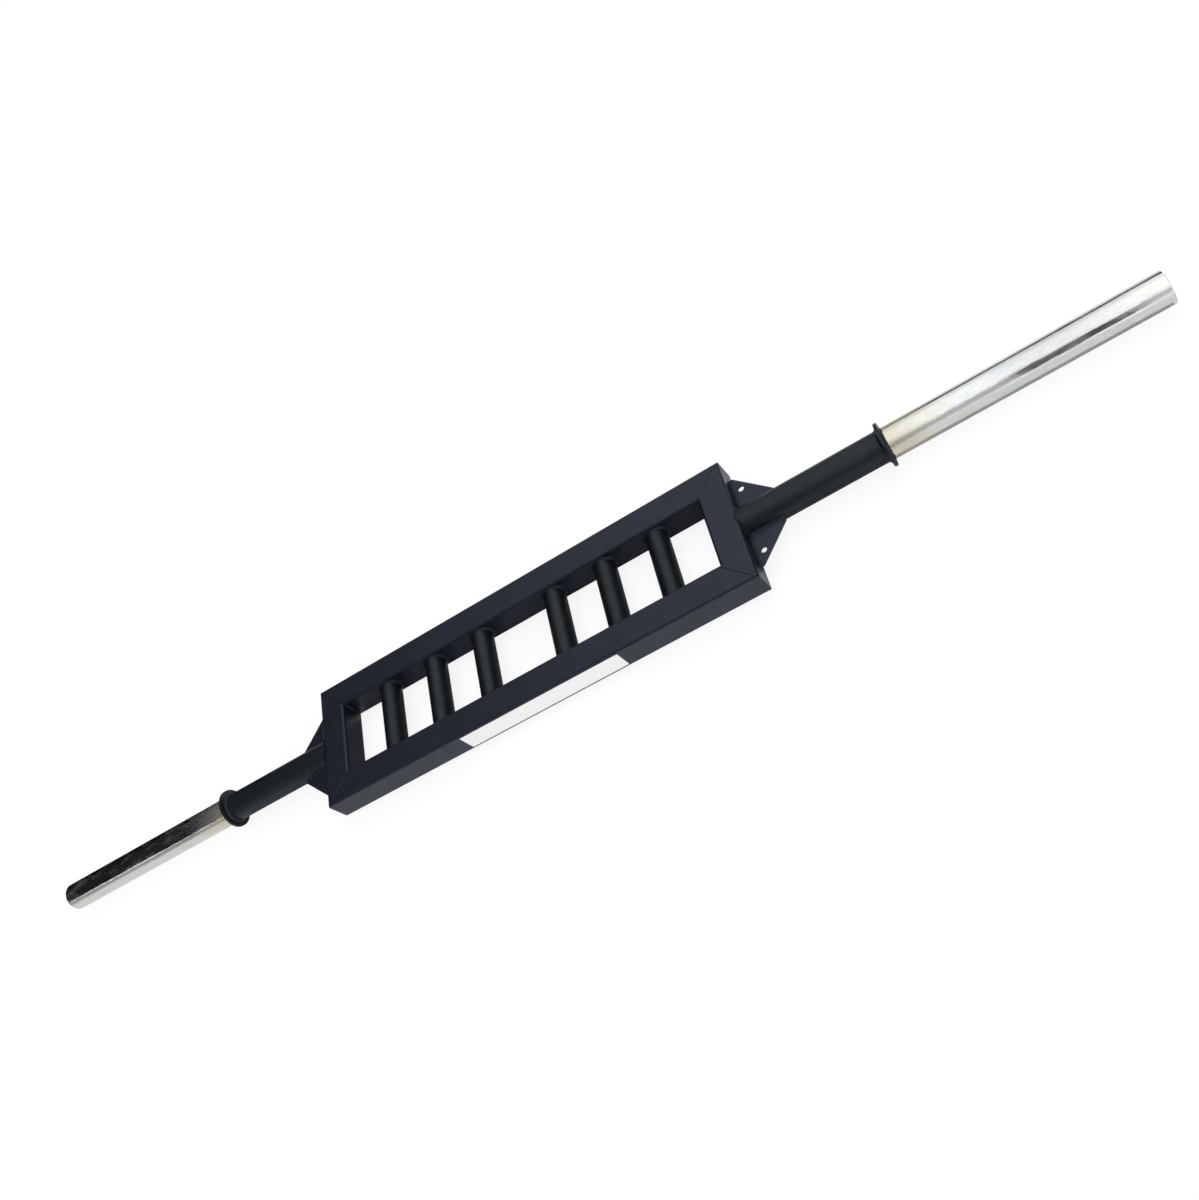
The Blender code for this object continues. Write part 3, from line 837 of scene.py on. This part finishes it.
def make_tent():
    """A light tent: bright overhead and to the right, dark to the left.

    In front a duller wall comes down to the floor. It is tall on the right and low on the
    left, with a bright ledge along its top.
    """
    bpy.ops.mesh.primitive_uv_sphere_add(segments=64, ring_count=32, radius=TENT_R)
    tent = bpy.context.object
    tent.name = "light_tent"
    tent.visible_camera = False
    mat, tree = new_material("light_tent")
    mat.cycles.emission_sampling = "NONE"
    place = node(tree, "TexCoord").outputs["Object"]
    way = node(tree, "VectorMath", {0: place}, operation="NORMALIZE")
    x, y, z = node(tree, "SeparateXYZ", {"Vector": way}).outputs
    across = node(tree, "MapRange", {"Value": x, "From Min": -1})

    # The sky, duller towards the horizon
    sky = node(tree, "ValToRGB", {"Fac": across})
    set_levels(sky.color_ramp, SKY)
    height = node(tree, "MapRange", {"Value": z, "From Max": 0.9, "To Min": 0.35})
    sky = node(tree, "Math", {0: sky, 1: height}, operation="MULTIPLY")

    # The wall, brighter at its foot
    wall = node(tree, "ValToRGB", {"Fac": across})
    set_levels(wall.color_ramp, WALL)
    slope = node(tree, "MapRange", {"Value": z, "From Max": 0.4, "To Min": 1.35, "To Max": 0.75})
    wall = node(tree, "Math", {0: wall, 1: slope}, operation="MULTIPLY")

    # Its top rises to the right, and it stands in front only
    top = node(tree, "MapRange", {"Value": x, "From Min": -0.7, "From Max": 0,
                                  "To Min": 0.36, "To Max": 0.72})
    below = node(tree, "Math", {0: top, 1: z}, operation="SUBTRACT")
    low = node(tree, "MapRange", {"Value": below, "From Min": -0.08, "From Max": 0.06})
    front = node(tree, "MapRange", {"Value": y, "From Min": -0.1, "From Max": -0.4})
    share = node(tree, "Math", {0: low, 1: front}, operation="MULTIPLY")
    strength = node(tree, "Mix", {"Factor": share, "A": sky, "B": wall})

    # The ledge along its top
    edge = node(tree, "Math", {0: below, 1: 0, 2: LEDGE_WIDTH}, operation="COMPARE")
    edge = node(tree, "Math", {0: edge, 1: front}, operation="MULTIPLY")
    ledge = node(tree, "MapRange", {"Value": x, "From Min": -0.60, "From Max": -0.20,
                                    "To Min": LEDGE[0], "To Max": LEDGE[1]})
    strength = node(tree, "Math", {0: edge, 1: ledge, 2: strength}, operation="MULTIPLY_ADD")
    glow = node(tree, "Emission", {"Color": linear("FAFCFF"), "Strength": strength})
    node(tree, "OutputMaterial", {"Surface": glow})
    tent.data.materials.append(mat)


def make_front_lamp():
    """A wide soft lamp low in front, which lights the front tube. No surface mirrors it."""
    data = bpy.data.lights.new("front_lamp", "AREA")
    data.shape = "RECTANGLE"
    data.size, data.size_y = LAMP_SIZE
    data.energy = LAMP_POWER
    lamp = new_object("front_lamp", data)
    lamp.location = LAMP_PLACE
    lamp.rotation_euler = (math.radians(LAMP_TILT), 0, 0)
    lamp.visible_glossy = False


def make_cards():
    """Grey cards that only reflections show: behind the bar and in front of it, and on the floor
    as painted shade, the bar's own shadow.
    """
    for name, colour, low, high in CARDS:
        middle = [(a + b) / 2 for a, b in zip(low, high)]
        bpy.ops.mesh.primitive_cube_add(size=1, location=middle)
        card = bpy.context.object
        card.name = name
        card.scale = [b - a for a, b in zip(low, high)]
        card.visible_camera = False
        card.visible_diffuse = False
        card.visible_shadow = False
        mat, tree = new_material(name)
        matt = node(tree, "BsdfDiffuse", {"Color": linear(colour)})
        node(tree, "OutputMaterial", {"Surface": matt})
        card.data.materials.append(mat)


def make_world():
    """A white background past the floor."""
    world = bpy.data.worlds.new("white_background")
    world.use_nodes = True
    tree = world.node_tree
    tree.nodes.clear()
    white = node(tree, "Background", {"Color": linear("FFFFFF"), "Strength": white_ray(tree)})
    node(tree, "OutputWorld", {"Surface": white})
    bpy.context.scene.world = world


def make_camera():
    """The photograph's camera."""
    data = bpy.data.cameras.new("camera")
    data.sensor_fit = "HORIZONTAL"
    data.sensor_width = SENSOR
    data.lens = SENSOR * FOCAL_PIXELS / PHOTO_WIDTH
    data.clip_start = 0.05
    data.clip_end = 100.0
    camera = new_object("camera", data)
    camera.location = CAMERA_PLACE
    camera.rotation_euler = [math.radians(angle) for angle in CAMERA_TURN]
    bpy.context.scene.camera = camera


def main():
    """Set up the camera and the light, and build and dress every piece."""
    bpy.context.scene.view_settings.view_transform = "Standard"
    make_camera()
    make_world()
    make_floor()
    make_tent()
    make_front_lamp()
    make_cards()
    coat = powder_coat("satin_black_powder_coat", dark="0B1119", light="141828", tint="E3ECFF",
                       gloss=0.5, least_rough=0.34, most_rough=0.44)
    # The grips, arms and collars wear a darker, less glossy copy of the same coat: painted shade,
    # as these round parts read darker under this light. It is also a little rougher.
    shaded_coat = powder_coat("shaded_black_powder_coat", dark="0A0F12", light="10161A",
                           tint="ECF8FF", gloss=0.4, least_rough=0.38, most_rough=0.48)
    make_side_tubes(coat)
    make_end_tubes(coat)
    make_grips(shaded_coat)
    make_arms(shaded_coat)
    make_collars(shaded_coat)
    make_sleeves(zinc_plating())
    make_plugs(plug_plastic())
    make_gussets(coat)
    make_sticker(sticker_vinyl())


main()
